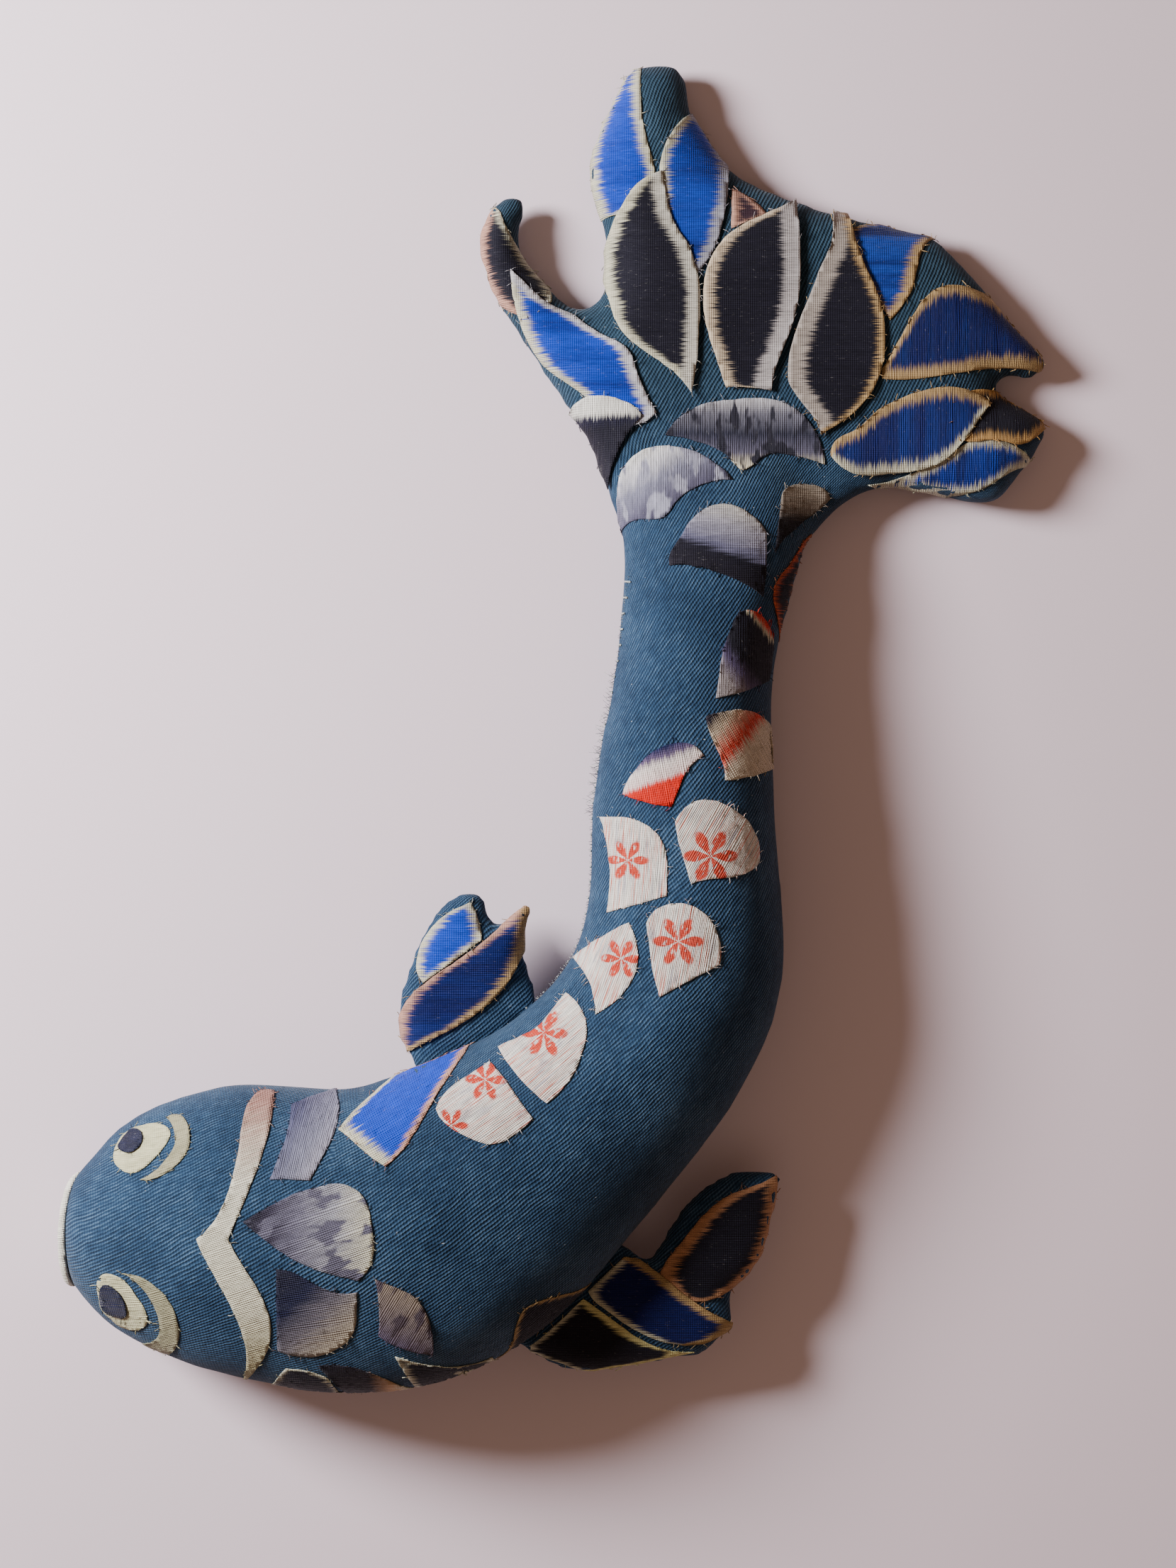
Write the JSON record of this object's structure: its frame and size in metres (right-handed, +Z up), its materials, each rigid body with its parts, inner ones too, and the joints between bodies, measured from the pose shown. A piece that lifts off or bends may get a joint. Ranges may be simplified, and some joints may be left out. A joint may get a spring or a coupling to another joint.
{
  "type": "stuffed cloth carp",
  "caption": "Curved stuffed cloth carp with a twill body, a four-lobed padded tail, two sewn-on fins and silk appliqué scales.",
  "frame": {"origin": "centre of the object's footprint, on the surface it lies on", "axes": "+Z up, +Y towards the tail's end, the head at -X"},
  "size_m": [0.2893, 0.3841, 0.0554],
  "materials": {
    "indigo_twill": "ribbed cotton twill, matt",
    "stuffing": "loose cotton wadding",
    "lip_cloth": "plain cream cotton",
    "eye_white_cloth": "slubbed cream silk",
    "eye_pupil_cloth": "dark navy silk",
    "eye_crescent_cloth": "beige olive silk",
    "collar_silk": "cream kasuri silk",
    "grey_silk": "grey and black kasuri silk, soft sheen",
    "black_silk": "black kasuri silk with cream feathering, soft sheen",
    "blue_silk": "bright blue kasuri silk, soft sheen",
    "navy_silk": "navy kasuri silk with cream feathering, soft sheen",
    "blossom_silk": "off-white kasuri silk with red blossoms",
    "red_silk": "red kasuri silk with pale streaks"
  },
  "bodies": {
    "body": {"back_patch_black_grey": "black_silk", "back_petal_grey": "grey_silk", "blossom_scale_1": "blossom_silk", "blossom_scale_2": "blossom_silk", "blossom_scale_3": "blossom_silk", "blossom_scale_4": "blossom_silk", "blossom_scale_5": "blossom_silk", "blossom_scale_6": "blossom_silk", "body_back_panel": "indigo_twill", "body_belly_panel": "indigo_twill", "body_stuffing": "stuffing", "collar_band": "collar_silk", "eye_crescents": "eye_crescent_cloth", "eye_pupils": "eye_pupil_cloth", "eye_whites": "eye_white_cloth", "fin_root_leaf": "black_silk", "flank_patch_brown_grey": "grey_silk", "lower_side_patch_front": "black_silk", "lower_side_patch_middle": "black_silk", "lower_side_patch_rear": "black_silk", "mouth_lip": "lip_cloth", "red_fan_scale": "red_silk", "shoulder_leaf_blue": "blue_silk", "shoulder_patch_lavender": "grey_silk", "striped_scale": "grey_silk"},
    "tail": {"hook_lobe_blue_leaf": "blue_silk", "hook_lobe_dark_leaf": "black_silk", "lower_lobe_black_leaf": "black_silk", "lower_lobe_blue_leaf": "blue_silk", "lower_lobe_navy_leaf": "navy_silk", "middle_black_leaf": "black_silk", "right_black_leaf": "black_silk", "right_lobe_blue_leaf": "blue_silk", "right_lobe_navy_leaf": "navy_silk", "small_pink_leaf": "grey_silk", "tail_back_panel": "indigo_twill", "tail_belly_panel": "indigo_twill", "tail_mottled_scale": "grey_silk", "tail_root_collar_scale": "grey_silk", "tail_root_corner_scale": "grey_silk", "tail_root_flank_leaf": "black_silk", "tail_root_rim_scale": "grey_silk", "tail_root_scale_red": "black_silk", "tail_stuffing": "stuffing", "tail_white_band_scale": "grey_silk", "top_lobe_black_leaf": "black_silk", "top_lobe_left_leaf": "blue_silk", "top_lobe_right_leaf": "blue_silk"},
    "left_fin": {"left_fin_blue_leaf": "blue_silk", "left_fin_cover": "indigo_twill", "left_fin_navy_leaf": "navy_silk", "left_fin_stuffing": "stuffing"},
    "right_fin": {"right_fin_black_leaf": "black_silk", "right_fin_cover": "indigo_twill", "right_fin_navy_leaf": "navy_silk", "right_fin_stuffing": "stuffing", "right_fin_under_leaf": "black_silk"}
  },
  "joints": [
    {"name": "tail_bend", "type": "hinge", "parent": "body", "child": "tail", "pos_m": [0.038, 0.0036, 0.018], "axis": [0, 0, 1], "range_deg": [-10, 10], "stiffness_Nm_per_rad": 0.25},
    {"name": "left_fin_flap", "type": "hinge", "parent": "body", "child": "left_fin", "pos_m": [-0.033, -0.0906, 0.022], "axis": [0.8824, 0.4706, 0], "range_deg": [-10, 40], "stiffness_Nm_per_rad": 0.05},
    {"name": "right_fin_flap", "type": "hinge", "parent": "body", "child": "right_fin", "pos_m": [0.0036, -0.1668, 0.022], "axis": [-0.7285, -0.6851, 0], "range_deg": [-10, 40], "stiffness_Nm_per_rad": 0.08}
  ]
}
